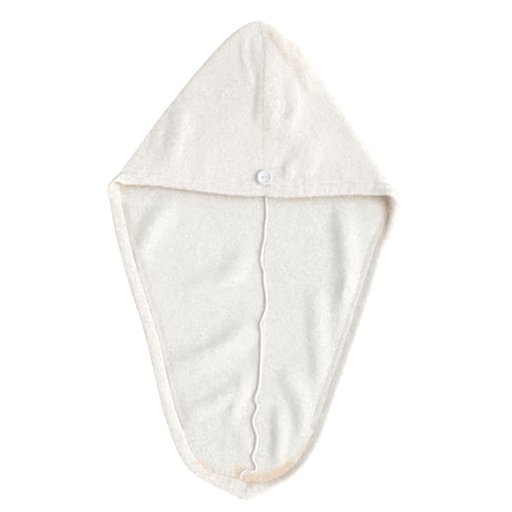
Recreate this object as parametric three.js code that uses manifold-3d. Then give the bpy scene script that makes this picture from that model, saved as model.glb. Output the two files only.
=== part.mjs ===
// A hair turban towel of thick cream fleece, lying flat with its hood's mouth and its inside facing up.
// Two mirrored panels meet at one seam, which runs from the nape, over the crown and down to the tail's tip.
// A turned hem goes all round the opening. A button sits outside the nape, and the loop that takes it is
// tucked under the tail's tip.
//
// Millimetres, +Z up. X runs across the towel and +Y points from the tail to the crown. The origin is on
// the surface that the towel lies on, under the middle of its outline.

import * as THREE from "three";
import { mergeVertices } from "three/addons/utils/BufferGeometryUtils.js";
import Module from "manifold-3d";

// Sizes of the towel as it lies
const towelWidth = 377;
const hoodDepth = 230; // crown to the mouth's edge at the seam
const tailLength = 396; // mouth's edge to the tail's tip
const clothThickness = 3;
const clearance = 0.3; // between pieces that touch
const cornerClearance = 1; // between the cloth and its hem where they turn round the mouth's corners

// Hem
const mouthHemWidth = 15;
const sideHemWidth = { left: 16, right: 11.5 };
const tipHemWidth = 24; // the hem opens out where it meets itself at the tail's tip
const hemThickness = 7;
const cornerHemThickness = 4.5; // pressed thinner where it turns round the mouth's corners

// How the hood stands above its back
const foldRadius = 6.5; // bend of the cloth along the hood's folded edges, to the middle of the cloth
const cornerRadius = { left: 6.5, right: 9 }; // the same bend where the mouth's corner opens it
const cornerReach = { left: 5, right: 9 }; // how far that bend stands out sideways
const hoodLoft = 7; // rise of the hood's middle above its edges
const loftReach = 75; // distance from a folded edge over which it rises
const mouthReach = 60; // distance from the mouth over which it rises

// Folds in the cloth
const foldHeight = 9;
const foldSpread = 18; // half the width of the widest fold

// Seam allowance inside
const seamWidth = 5;
const seamHeight = 2.6;
const seamCrownGap = 1.2; // between the seam allowance and the cloth where it turns over at the crown

// Button and its thread
const buttonDiameter = 20;
const buttonThickness = 3.6;
const buttonHoleDiameter = 2;
const buttonHoleSpacing = 5.6;
const threadDiameter = 1.2;

// Loop for the button, a folded elastic tape
const loopLength = 32;
const loopWidth = 6;
const loopSetback = 8; // from the tail's tip to the loop's sewn end
const tapeThickness = 1.2;
const tapeSpacing = 0.6; // between the loop's two layers
const loopHeight = 2 * tapeThickness + tapeSpacing;
const tailLift = loopHeight + clearance; // rise of the tail's tip over the loop beneath it

// Mesh steps
const acrossSteps = 14;
const hoodSteps = 11;
const bendSteps = 6;
const tailSteps = 34;
const seamSubdivisions = 2;

// Where each table's shares are measured: across is -1 and 1 at the two corners of the mouth, and down is
// 0 at the crown and 1 at the mouth for the hood, 0 at the mouth and 1 at the tip for the tail.
const crownY = (hoodDepth + tailLength) / 2;
const mouthY = crownY - hoodDepth;
const hoodPoint = ({ across, down }) => new THREE.Vector3((across * towelWidth) / 2, crownY - down * hoodDepth, 0);
const tailPoint = ({ across, down }) => new THREE.Vector3((across * towelWidth) / 2, mouthY - down * tailLength, 0);

// The hood's folded edges, from the crown to the mouth's corners, seen from above
const hoodEdge = {
  left: [
    { across: 0.038, down: 0 },
    { across: -0.06, down: 0.032 },
    { across: -0.193, down: 0.119 },
    { across: -0.393, down: 0.299 },
    { across: -0.669, down: 0.571 },
    { across: -0.841, down: 0.751 },
    { across: -0.946, down: 0.868 },
  ],
  right: [
    { across: 0.038, down: 0 },
    { across: 0.13, down: 0.032 },
    { across: 0.276, down: 0.119 },
    { across: 0.448, down: 0.299 },
    { across: 0.669, down: 0.571 },
    { across: 0.814, down: 0.751 },
    { across: 0.945, down: 0.93 },
  ],
};

// The mouth's edge on the hood, from the seam to the corners
const mouthEdge = {
  left: [
    { across: 0.09, down: 1 },
    { across: -0.138, down: 0.994 },
    { across: -0.421, down: 0.966 },
    { across: -0.717, down: 0.938 },
  ],
  right: [
    { across: 0.09, down: 1 },
    { across: 0.193, down: 1.008 },
    { across: 0.441, down: 1 },
    { across: 0.683, down: 0.992 },
  ],
};

// The open edge down each side of the tail, from the mouth's corners to the tip
const tailEdge = {
  left: [
    { across: -0.997, down: 0 },
    { across: -0.983, down: 0.045 },
    { across: -0.924, down: 0.17 },
    { across: -0.848, down: 0.302 },
    { across: -0.759, down: 0.433 },
    { across: -0.69, down: 0.564 },
    { across: -0.628, down: 0.695 },
    { across: -0.559, down: 0.793 },
    { across: -0.476, down: 0.879 },
    { across: -0.359, down: 0.931 },
    { across: -0.234, down: 0.957 },
    { across: -0.048, down: 1 },
  ],
  right: [
    { across: 1, down: 0.03 },
    { across: 1, down: 0.062 },
    { across: 0.985, down: 0.1 },
    { across: 0.931, down: 0.144 },
    { across: 0.841, down: 0.275 },
    { across: 0.752, down: 0.407 },
    { across: 0.662, down: 0.538 },
    { across: 0.566, down: 0.669 },
    { across: 0.469, down: 0.8 },
    { across: 0.372, down: 0.879 },
    { across: 0.255, down: 0.931 },
    { across: 0.125, down: 0.963 },
    { across: -0.048, down: 1 },
  ],
};
const sideShare = 0.86; // share of the tail's open edge that counts as its side, the rest being its end

// The seam where the panels meet, on the hood from the crown to the mouth and on the back down to the tip
const hoodSeam = [
  { across: 0.038, down: 0 },
  { across: 0.063, down: 0.09 },
  { across: 0.076, down: 0.22 },
  { across: 0.07, down: 0.38 },
  { across: 0.066, down: 0.7 },
  { across: 0.086, down: 1 },
];
const backSeam = [
  { across: 0.038, down: -0.58 },
  { across: 0.06, down: -0.3 },
  { across: 0.09, down: 0 },
  { across: 0.078, down: 0.14 },
  { across: 0.074, down: 0.3 },
  { across: 0.052, down: 0.5 },
  { across: 0.02, down: 0.7 },
  { across: 0.004, down: 0.86 },
];

// How far the seam allowance sways to either side of the seam line, as shares of its own width
const seamSway = [
  { down: -0.58, sway: 0 },
  { down: 0, sway: 0 },
  { down: 0.08, sway: 0.4 },
  { down: 0.2, sway: -0.5 },
  { down: 0.31, sway: 0.5 },
  { down: 0.42, sway: -0.2 },
  { down: 0.56, sway: 0.3 },
  { down: 0.67, sway: -0.5 },
  { down: 0.69, sway: 0.1 },
  { down: 0.73, sway: -0.5 },
  { down: 0.79, sway: 0.5 },
  { down: 0.86, sway: -0.3 },
  { down: 0.87, sway: 0.3 },
  { down: 0.9, sway: 0.9 },
  { down: 0.925, sway: 1.2 },
  { down: 0.945, sway: -0.6 },
];

// Folds of the hood and of the tail. Each crest runs through three points, high is a share of foldHeight
// and wide a share of foldSpread.
const hoodFolds = [
  { across1: 0.15, down1: 0.12, across2: 0.2, down2: 0.36, across3: 0.15, down3: 0.6, high: 0.6, wide: 0.7 },
  { across1: 0.2, down1: 0.16, across2: 0.3, down2: 0.35, across3: 0.27, down3: 0.62, high: 0.5, wide: 0.6 },
  { across1: -0.46, down1: 0.46, across2: -0.5, down2: 0.63, across3: -0.57, down3: 0.8, high: 0.6, wide: 0.9 },
  { across1: 0.25, down1: 0.87, across2: 0.31, down2: 0.79, across3: 0.4, down3: 0.71, high: 0.4, wide: 0.6 },
];
const tailFolds = [
  { across1: -0.6, down1: 0.06, across2: -0.68, down2: 0.09, across3: -0.76, down3: 0.17, high: 0.6, wide: 0.9 },
  { across1: -0.12, down1: 0.2, across2: -0.16, down2: 0.27, across3: -0.43, down3: 0.3, high: 0.35, wide: 0.9 },
  { across1: -0.1, down1: 0.43, across2: -0.22, down2: 0.49, across3: -0.54, down3: 0.56, high: 0.55, wide: 0.9 },
  { across1: -0.15, down1: 0.66, across2: -0.28, down2: 0.67, across3: -0.45, down3: 0.69, high: 0.4, wide: 0.8 },
  { across1: -0.09, down1: 0.6, across2: -0.12, down2: 0.66, across3: -0.15, down3: 0.74, high: 0.5, wide: 0.6 },
  { across1: 0.63, down1: 0.08, across2: 0.66, down2: 0.22, across3: 0.64, down3: 0.45, high: 1, wide: 1 },
  { across1: 0.44, down1: 0.34, across2: 0.45, down2: 0.46, across3: 0.47, down3: 0.58, high: 0.55, wide: 0.85 },
  { across1: 0.24, down1: 0.59, across2: 0.34, down2: 0.67, across3: 0.37, down3: 0.77, high: 0.65, wide: 0.8 },
  { across1: 0.18, down1: 0.72, across2: 0.19, down2: 0.79, across3: 0.18, down3: 0.86, high: 0.6, wide: 0.6 },
];

// Cross-section of the hem, from its stitched edge to its open edge. out is a share of its width, and deep
// a share of its thickness, counted from the outside of the cloth.
const hemSection = [
  { out: 0, deep: 0 },
  { out: 0.85, deep: 0 },
  { out: 0.97, deep: 0.17 },
  { out: 1, deep: 0.5 },
  { out: 0.93, deep: 0.85 },
  { out: 0.78, deep: 1 },
  { out: 0.38, deep: 1 },
  { out: 0, deep: 0.74 },
  { out: 0, deep: 0.43 },
];

// Cross-section of the seam allowance: wide is a share of half its width, high a share of its height
const seamSection = [
  { wide: -1, high: 0 },
  { wide: 1, high: 0 },
  { wide: 1, high: 0.55 },
  { wide: 0.5, high: 1 },
  { wide: -0.5, high: 1 },
  { wide: -1, high: 0.55 },
];

// Half section of the button, from its axis to its rim and back: out is a share of its radius and up a
// share of its thickness
const buttonSection = [
  { out: 0, up: 0.15 },
  { out: 0.7, up: 0 },
  { out: 0.9, up: 0.2 },
  { out: 1, up: 0.55 },
  { out: 0.94, up: 0.86 },
  { out: 0.8, up: 1 },
  { out: 0.66, up: 0.92 },
  { out: 0.5, up: 0.62 },
  { out: 0, up: 0.55 },
];

const colours = { fleece: 0xf2ece3, button: 0xf1f3f4, thread: 0xf7f7f5, elastic: 0xf4f1ec };

const smooth = (x) => {
  const t = Math.min(Math.max(x, 0), 1);
  return t * t * (3 - 2 * t);
};

const curveThrough = (points) => new THREE.CatmullRomCurve3(points, false, "centripetal");

// The value of a table's column at a share down it, between the two rows on either side
function fromTable(table, down, column) {
  const next = table.findIndex((row) => row.down >= down);
  if (next <= 0) return next === 0 ? table[0][column] : table[table.length - 1][column];
  const before = table[next - 1];
  const share = (down - before.down) / (table[next].down - before.down);
  return THREE.MathUtils.lerp(before[column], table[next][column], smooth(share));
}

// Height that a set of folds adds at a point of the plan
function foldRise(folds, pointOf, point) {
  const spot = new THREE.Vector3(point.x, point.y, 0);
  let rise = 0;
  for (const fold of folds) {
    const crest = [1, 2, 3].map((n) => pointOf({ across: fold[`across${n}`], down: fold[`down${n}`] }));
    const away = Math.min(distanceTo(crest[0], crest[1], spot), distanceTo(crest[1], crest[2], spot));
    const share = away / (fold.wide * foldSpread);
    if (share < 1) rise = Math.max(rise, fold.high * foldHeight * (1 - share * share) ** 2);
  }
  return rise;
}

function distanceTo(start, end, point) {
  return new THREE.Line3(start, end).closestPointToPoint(point, true, new THREE.Vector3()).distanceTo(point);
}

function distanceToLine(points, point) {
  const spot = new THREE.Vector3(point.x, point.y, 0);
  return Math.min(...points.slice(1).map((p, i) => distanceTo(points[i], p, spot)));
}

// Outward normal of a plan curve, on the side away from the towel's middle
function normalAt(curve, share, side) {
  const along = curve.getTangentAt(share);
  return new THREE.Vector3(-along.y * side, along.x * side, 0);
}

// The two folded edges of the hood, to the middle of the cloth where its bend begins
const bendInset = foldRadius + clothThickness / 2;
function hoodCrease(name, side) {
  const outline = curveThrough(hoodEdge[name].map(hoodPoint));
  const crown = new THREE.Vector3(0, 1, 0);
  const sideways = new THREE.Vector3(side, 0, 0);
  const rows = [];
  for (let c = 0; c <= acrossSteps; c++) {
    const share = c / acrossSteps;
    const away = crown.clone().lerp(normalAt(outline, share, side), smooth(share / 0.15));
    away.lerp(sideways, smooth((share - 0.8) / 0.2)).normalize();
    rows.push({ away, at: outline.getPointAt(share).addScaledVector(away, -bendInset) });
  }
  return rows;
}

const sides = { left: -1, right: 1 };
const creases = { left: hoodCrease("left", sides.left), right: hoodCrease("right", sides.right) };
const creaseLines = Object.values(creases).map((crease) => crease.map((row) => row.at));
const tailEdgeLines = Object.values(tailEdge).map((edge) => edge.map(tailPoint));

// Width of the hem at a share of the tail's open edge, from the mouth's corner to the tip
function tailHemWidth(name, share) {
  return THREE.MathUtils.lerp(sideHemWidth[name], tipHemWidth, smooth((share - 0.9) / 0.1));
}

// The line of stitches along the mouth, and down the open edge of the tail to the seam's end
function stitchLines(name, side) {
  const corner = creases[name][acrossSteps].at;
  const mouth = mouthEdge[name].map((row) => hoodPoint(row).add(new THREE.Vector3(0, mouthHemWidth, 0)));
  const edge = curveThrough(tailEdge[name].map(tailPoint));
  const endways = new THREE.Vector3(0, -1, 0);
  const inner = [];
  for (let n = 0; n <= tailSteps; n++) {
    const share = n / tailSteps;
    const away = normalAt(edge, share, side).lerp(endways, smooth((share - 0.9) / 0.1)).normalize();
    inner.push(edge.getPointAt(share).addScaledVector(away, -tailHemWidth(name, share)));
  }
  return { mouth: curveThrough([...mouth, corner]), tail: curveThrough(inner) };
}

function backHeight(point) {
  const down = (mouthY - point.y) / tailLength;
  const toEdge = Math.min(...tailEdgeLines.map((line) => distanceToLine(line, point))) - mouthHemWidth;
  const folds = foldRise(tailFolds, tailPoint, point) * smooth(toEdge / foldSpread);
  return clothThickness / 2 + folds + tailLift * smooth((down - 0.78) / 0.12);
}

function hoodHeight(point, bend) {
  const toCrease = Math.min(...creaseLines.map((line) => distanceToLine(line, point)));
  const toMouth = point.y - mouthY - mouthHemWidth;
  const loft = hoodLoft * smooth(toCrease / loftReach) * smooth(toMouth / mouthReach);
  const folds = foldRise(hoodFolds, hoodPoint, point) * smooth(toCrease / foldSpread);
  return clothThickness / 2 + 2 * bend + loft + folds;
}

// Middle surface of one panel as rows of points, from the nape up the hood, round its folded edge and down
// the back. Each row runs from the seam to the hem, and the first one is the single point of the nape.
function panelRows(name) {
  const side = sides[name];
  const crease = creases[name];
  const stitch = stitchLines(name, side);
  const halfGap = new THREE.Vector3((side * clearance) / 2, 0, 0);
  const seamStart = hoodPoint({ across: hoodSeam[hoodSeam.length - 1].across, down: 1 });
  const nape = new THREE.Vector3(seamStart.x, stitch.mouth.getPointAt(0).y, 0);
  const hood = curveThrough([nape, ...hoodSeam.slice(1, -1).reverse().map(hoodPoint), crease[0].at]);
  const end = stitch.tail.getPointAt(1);
  const back = curveThrough([crease[0].at, ...backSeam.slice(1).map(tailPoint), end]);
  const columns = Array.from({ length: acrossSteps + 1 }, (_, c) => c / acrossSteps);
  const bendAt = (s) => THREE.MathUtils.lerp(foldRadius, cornerRadius[name], s ** 4);
  const cornerStep = stitch.tail.getPointAt(0).sub(crease[acrossSteps].at);
  const rows = [];

  for (let r = 0; r <= hoodSteps; r++) {
    const u = r / hoodSteps;
    rows.push(
      columns.map((s, c) => {
        const straight = crease[0].at.clone().lerp(crease[acrossSteps].at, s);
        const point = hood.getPointAt(u).lerp(stitch.mouth.getPointAt(u), s);
        point.addScaledVector(crease[c].at.clone().sub(straight), u * u);
        point.z = hoodHeight(point, THREE.MathUtils.lerp(foldRadius, bendAt(s), u ** 4));
        return point;
      }),
    );
  }
  const hoodLast = rows[hoodSteps];

  const backRow = (v) =>
    columns.map((s, c) => {
      const start = crease[c].at.clone().addScaledVector(cornerStep, s ** 3);
      const startStraight = crease[0].at.clone().lerp(stitch.tail.getPointAt(0), s);
      const finish = stitch.tail.getPointAt(1 - s * (1 - sideShare));
      const finishStraight = end.clone().lerp(stitch.tail.getPointAt(sideShare), s);
      const point = back.getPointAt(v).lerp(stitch.tail.getPointAt(v * sideShare), s);
      point.addScaledVector(start.sub(startStraight), (1 - v) ** 2);
      point.addScaledVector(finish.sub(finishStraight), v ** 3);
      point.z = backHeight(point);
      return point;
    });
  const backFirst = backRow(0);

  for (let b = 1; b < bendSteps; b++) {
    const turn = Math.PI * (0.5 - b / bendSteps);
    rows.push(
      columns.map((s, c) => {
        const point = hoodLast[c].clone().lerp(backFirst[c], (1 - Math.sin(turn)) / 2);
        const reach = THREE.MathUtils.lerp(foldRadius, cornerReach[name], s ** 4);
        return point.addScaledVector(crease[c].away, reach * Math.cos(turn));
      }),
    );
  }
  rows.push(backFirst);
  for (let r = 1; r <= tailSteps; r++) rows.push(backRow(r / tailSteps));
  for (const row of rows) row[0].add(halfGap);
  rows[0] = [rows[0][0]];
  return rows;
}

// Triangles and vertex normals of a panel's middle surface. The normals point to the inside of the towel.
function meshOf(rows, side) {
  const points = rows.flat();
  const start = rows.map((_, r) => rows.slice(0, r).reduce((sum, row) => sum + row.length, 0));
  const index = (r, c) => start[r] + Math.min(c, rows[r].length - 1);
  const triangles = [];
  const add = (a, b, c) => {
    if (a !== b && b !== c && a !== c) triangles.push(side > 0 ? [a, b, c] : [a, c, b]);
  };
  for (let r = 0; r < rows.length - 1; r++)
    for (let c = 0; c < acrossSteps; c++) {
      add(index(r, c), index(r + 1, c), index(r + 1, c + 1));
      add(index(r, c), index(r + 1, c + 1), index(r, c + 1));
    }
  const normals = points.map(() => new THREE.Vector3());
  for (const [a, b, c] of triangles) {
    const face = new THREE.Vector3().subVectors(points[b], points[a]);
    face.cross(new THREE.Vector3().subVectors(points[c], points[a]));
    for (const corner of [a, b, c]) normals[corner].add(face);
  }
  rows.forEach((_, r) => (normals[index(r, 0)].x = 0)); // both panels keep to the seam's plane
  normals.forEach((normal) => normal.normalize());
  return { points, triangles, normals, index };
}

function geometryOf(points, triangles) {
  const geometry = new THREE.BufferGeometry().setFromPoints(points);
  geometry.setIndex(triangles.flat());
  const volume = triangles.reduce(
    (sum, [a, b, c]) => sum + points[a].dot(new THREE.Vector3().crossVectors(points[b], points[c])),
    0,
  );
  if (volume < 0) geometry.setIndex(triangles.flatMap(([a, b, c]) => [a, c, b]));
  geometry.computeVertexNormals();
  return geometry;
}

// A closed wall of the cloth's thickness about a middle surface
function clothWall({ points, triangles, normals }) {
  const half = clothThickness / 2;
  const inside = points.map((p, i) => p.clone().addScaledVector(normals[i], half));
  const outside = points.map((p, i) => p.clone().addScaledVector(normals[i], -half));
  const shift = points.length;
  const faces = [...triangles, ...triangles.map(([a, b, c]) => [a + shift, c + shift, b + shift])];
  const edges = new Map();
  for (const [a, b, c] of triangles)
    for (const [from, to] of [
      [a, b],
      [b, c],
      [c, a],
    ])
      edges.set(`${from} ${to}`, [from, to]);
  for (const [from, to] of edges.values())
    if (!edges.has(`${to} ${from}`)) {
      faces.push([to, from, Math.max(from, to) + shift]);
      faces.push([Math.min(from, to), from + shift, to + shift]);
    }
  return geometryOf([...inside, ...outside], faces);
}

// A solid swept through sections that all have the same number of points, closed by a flat cap at each end
function swept(sections) {
  const count = sections[0].length;
  const faces = [];
  for (let i = 0; i < sections.length - 1; i++)
    for (let j = 0; j < count; j++) {
      const next = (j + 1) % count;
      const [a, b, c, d] = [i * count + j, i * count + next, (i + 1) * count + next, (i + 1) * count + j];
      faces.push([a, b, c], [a, c, d]);
    }
  const last = (sections.length - 1) * count;
  for (let j = 1; j < count - 1; j++) {
    faces.push([0, j + 1, j]);
    faces.push([last, last + j, last + j + 1]);
  }
  return geometryOf(sections.flat(), faces);
}

// Directions in which the hem leaves a panel's edge, square to the edge and within the cloth
function hemDirections(edge, mesh, side) {
  const last = edge.length - 1;
  const square = edge.map((at, i) => {
    const before = mesh.points[edge[Math.max(i - 1, 0)]];
    const after = mesh.points[edge[Math.min(i + 1, last)]];
    return after.clone().sub(before).cross(mesh.normals[at]).multiplyScalar(-side).normalize();
  });
  // each is evened out with its neighbours, so that the hem fans round the mouth's corner
  return square.map((away, i) => {
    const even = away.clone().multiplyScalar(2).add(square[Math.max(i - 1, 0)]).add(square[Math.min(i + 1, last)]);
    if (i === 0 || i === last) even.x = 0;
    return even.normalize();
  });
}

// The turned hem along a panel's edge: out along the mouth, round its corner and down the tail to the tip
function hem(name, rows, mesh) {
  const edge = rows.map((_, r) => mesh.index(r, acrossSteps));
  for (let c = acrossSteps - 1; c >= 0; c--) edge.push(mesh.index(rows.length - 1, c));
  const directions = hemDirections(edge, mesh, sides[name]);
  const sections = edge.map((at, i) => {
    const point = mesh.points[at];
    const round = THREE.MathUtils.clamp((i - hoodSteps) / bendSteps, 0, 1);
    const downSide = (Math.min(i - hoodSteps - bendSteps, tailSteps) / tailSteps) * sideShare;
    const downEnd = (Math.max(i - rows.length + 1, 0) / acrossSteps) * (1 - sideShare);
    const width = THREE.MathUtils.lerp(mouthHemWidth, tailHemWidth(name, downSide + downEnd), round);
    const pressed = smooth(1.5 - Math.abs(i - hoodSteps - bendSteps / 2) / bendSteps);
    const thickness = THREE.MathUtils.lerp(hemThickness, cornerHemThickness, pressed);
    const start = THREE.MathUtils.lerp(clearance, cornerClearance, pressed);
    const away = directions[i];
    away.z = Math.max(away.z, (clothThickness / 2 - point.z) / width); // it comes no lower than the surface
    return hemSection.map(({ out, deep }) =>
      point
        .clone()
        .addScaledVector(away, start + out * (width - start))
        .addScaledVector(mesh.normals[at], deep * thickness - clothThickness / 2),
    );
  });
  return swept(sections);
}

// The seam allowance, standing on the inside of the cloth over the line where the panels meet
function seamAllowance(rows, mesh) {
  const stations = [];
  for (let r = 0; r < rows.length - 2; r++)
    for (let n = 0; n < seamSubdivisions; n++) stations.push({ r, share: n / seamSubdivisions });
  const sections = stations.map(({ r, share }) => {
    const [from, to] = [mesh.index(r, 0), mesh.index(r + 1, 0)];
    const point = mesh.points[from].clone().lerp(mesh.points[to], share);
    const up = mesh.normals[from].clone().lerp(mesh.normals[to], share).normalize();
    const onBack = r >= hoodSteps + bendSteps;
    const base = clothThickness / 2 + (r >= hoodSteps && !onBack ? seamCrownGap : clearance);
    const sway = onBack ? fromTable(seamSway, (mouthY - point.y) / tailLength, "sway") * seamWidth : 0;
    return seamSection.map(({ wide, high }) =>
      point
        .clone()
        .addScaledVector(up, base + high * seamHeight)
        .add(new THREE.Vector3(sway + (wide * seamWidth) / 2, 0, 0)),
    );
  });
  return swept(sections);
}

const wasm = await Module();
wasm.setup();

function solidFrom(geometry) {
  const bare = geometry.index ? geometry.toNonIndexed() : geometry.clone();
  bare.deleteAttribute("normal");
  bare.deleteAttribute("uv");
  const merged = mergeVertices(bare, 1e-4);
  const mesh = new wasm.Mesh({
    numProp: 3,
    vertProperties: new Float32Array(merged.attributes.position.array),
    triVerts: new Uint32Array(merged.index.array),
  });
  return new wasm.Manifold(mesh);
}

function geometryFrom(solid) {
  const mesh = solid.getMesh();
  const geometry = new THREE.BufferGeometry();
  geometry.setAttribute("position", new THREE.BufferAttribute(mesh.vertProperties, 3));
  geometry.setIndex(new THREE.BufferAttribute(mesh.triVerts, 1));
  geometry.computeVertexNormals();
  return geometry;
}

const holeCentres = [-1, 1].map((side) => (side * buttonHoleSpacing) / 2);

// The button, a dished disc with two holes side by side, its underside at z = 0
function button() {
  const profile = buttonSection.map(
    ({ out, up }) => new THREE.Vector2((out * buttonDiameter) / 2, up * buttonThickness),
  );
  let disc = solidFrom(new THREE.LatheGeometry(profile, 32).rotateX(Math.PI / 2));
  for (const x of holeCentres) {
    const drill = new THREE.CylinderGeometry(buttonHoleDiameter / 2, buttonHoleDiameter / 2, 4 * buttonThickness, 10);
    disc = disc.subtract(solidFrom(drill.rotateX(Math.PI / 2).translate(x, 0, 0)));
  }
  return geometryFrom(disc);
}

// The thread, down through one hole, across the dish and down through the other to the cloth
function buttonThread(seat) {
  const dish = 0.62 * buttonThickness + clearance;
  const legLength = dish + threadDiameter / 2 + seat - clearance;
  const legMiddle = dish + threadDiameter / 2 - legLength / 2;
  const round = threadDiameter / 2;
  let thread = solidFrom(
    new THREE.CylinderGeometry(round, round, buttonHoleSpacing, 8).rotateZ(Math.PI / 2).translate(0, 0, dish + round),
  );
  for (const x of holeCentres) {
    const leg = new THREE.CylinderGeometry(round, round, legLength, 8).rotateX(Math.PI / 2);
    thread = thread.add(solidFrom(leg.translate(x, 0, legMiddle)));
  }
  return geometryFrom(thread);
}

// The loop, a flat tape folded back on itself so that its two layers lie together, its fold at the origin
function buttonLoop() {
  const bulge = loopHeight / 2;
  const profile = new THREE.Shape();
  profile.moveTo(-loopLength, 0);
  profile.lineTo(-bulge, 0);
  profile.absarc(-bulge, bulge, bulge, -Math.PI / 2, Math.PI / 2, false);
  profile.lineTo(-loopLength, loopHeight);
  profile.lineTo(-loopLength, loopHeight - tapeThickness);
  profile.lineTo(-bulge, loopHeight - tapeThickness);
  profile.absarc(-bulge, bulge, tapeSpacing / 2, Math.PI / 2, -Math.PI / 2, true);
  profile.lineTo(-loopLength, tapeThickness);
  profile.closePath();
  const tape = new THREE.ExtrudeGeometry(profile, { depth: loopWidth, bevelEnabled: false, curveSegments: 6 });
  return tape.rotateX(Math.PI / 2).rotateZ(Math.PI / 2).translate(-loopWidth / 2, 0, 0);
}

const towel = new THREE.Group();
const cloth = new THREE.MeshStandardMaterial({ color: colours.fleece, roughness: 1, metalness: 0 });

function addPiece(name, geometry, material, position = new THREE.Vector3()) {
  const mesh = new THREE.Mesh(geometry, material);
  mesh.name = name;
  mesh.position.copy(position);
  towel.add(mesh);
}

const panels = {};
for (const name of Object.keys(sides)) {
  const rows = panelRows(name);
  const mesh = meshOf(rows, sides[name]);
  panels[name] = { rows, mesh };
  addPiece(`${name}_panel`, clothWall(mesh), cloth.clone());
  addPiece(`${name}_hem`, hem(name, rows, mesh), cloth.clone());
}
addPiece("centre_seam", seamAllowance(panels.right.rows, panels.right.mesh), cloth.clone());

// The button sits on the seam, with its lower edge on the line of stitches
const buttonY = mouthY + mouthHemWidth + buttonDiameter / 2 - 1;
const buttonX = (fromTable(hoodSeam, (crownY - buttonY) / hoodDepth, "across") * towelWidth) / 2;
const underButton = [-1, 0, 1].flatMap((i) =>
  [-1, 0, 1].map((j) => {
    const reach = buttonDiameter / 2;
    return hoodHeight(new THREE.Vector3(buttonX + i * reach, buttonY + j * reach, 0), foldRadius);
  }),
);
const clothUnderButton = hoodHeight(new THREE.Vector3(buttonX, buttonY, 0), foldRadius) + clothThickness / 2;
const buttonSeat = Math.max(...underButton) + clothThickness / 2 + clearance;
const buttonAt = new THREE.Vector3(buttonX, buttonY, buttonSeat);
const plastic = new THREE.MeshStandardMaterial({ color: colours.button, roughness: 0.25, metalness: 0 });
addPiece("button", button(), plastic, buttonAt);
const sewing = new THREE.MeshStandardMaterial({ color: colours.thread, roughness: 0.8, metalness: 0 });
addPiece("button_thread", buttonThread(buttonSeat - clothUnderButton), sewing, buttonAt);

const elastic = new THREE.MeshStandardMaterial({ color: colours.elastic, roughness: 0.9, metalness: 0 });
const loopAt = tailPoint(tailEdge.left[tailEdge.left.length - 1]);
loopAt.y += loopSetback + loopLength;
addPiece("button_loop", buttonLoop(), elastic, loopAt);

// The origin goes under the middle of the towel's outline
const middle = new THREE.Box3().setFromObject(towel, true).getCenter(new THREE.Vector3());
for (const piece of towel.children) piece.position.sub(new THREE.Vector3(middle.x, middle.y, 0));

export default towel;
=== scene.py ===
import math

import bmesh
import bpy
import numpy as np
from mathutils import Matrix, Vector, noise
from mathutils.bvhtree import BVHTree


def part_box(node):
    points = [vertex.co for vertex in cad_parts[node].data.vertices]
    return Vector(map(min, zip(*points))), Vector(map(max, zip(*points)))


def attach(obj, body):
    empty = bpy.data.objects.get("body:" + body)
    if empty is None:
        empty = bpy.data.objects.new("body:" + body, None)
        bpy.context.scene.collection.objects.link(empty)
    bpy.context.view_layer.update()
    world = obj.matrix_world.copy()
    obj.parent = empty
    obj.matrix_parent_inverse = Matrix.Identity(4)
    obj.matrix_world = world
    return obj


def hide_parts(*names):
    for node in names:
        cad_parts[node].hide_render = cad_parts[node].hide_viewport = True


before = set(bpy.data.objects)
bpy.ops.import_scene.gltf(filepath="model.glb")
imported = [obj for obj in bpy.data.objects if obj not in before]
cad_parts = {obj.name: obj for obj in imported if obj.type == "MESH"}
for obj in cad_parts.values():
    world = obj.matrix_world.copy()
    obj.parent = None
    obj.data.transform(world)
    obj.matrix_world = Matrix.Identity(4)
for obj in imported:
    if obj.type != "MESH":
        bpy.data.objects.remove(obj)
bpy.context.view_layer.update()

# Fleece panels
# Each half of the towel is one panel of thick cream coral fleece, cut from the mouth over the hood's folded
# edge to the tail's tip. Lengths in the tables are millimetres, and the meshes are in metres.
MM = 0.001
SIDES = {"left": -1, "right": 1}
PANEL_SPLITS = 2
CUT_EDGE = math.radians(50)
CUT_CREASE = 0.9
CLOTH = 3.0
SEAM_GAP = 0.32
SEAM_HOLLOW = 0.25
SEAM_HOLLOW_WIDTH = 2.6
PUCKER = 0.38
PUCKER_WIDTH = 9
OUTSIDE = (0.925, 0.902, 0.877, 1)
INSIDE = (0.910, 0.911, 0.886, 1)
SHADE = (0.885, 0.862, 0.832, 1)
# warm brown of the painted shade in hollows, creases and flanks turned from the light
PAINTED_SHADE_BROWN = (0.960, 0.830, 0.690, 1)

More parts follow.
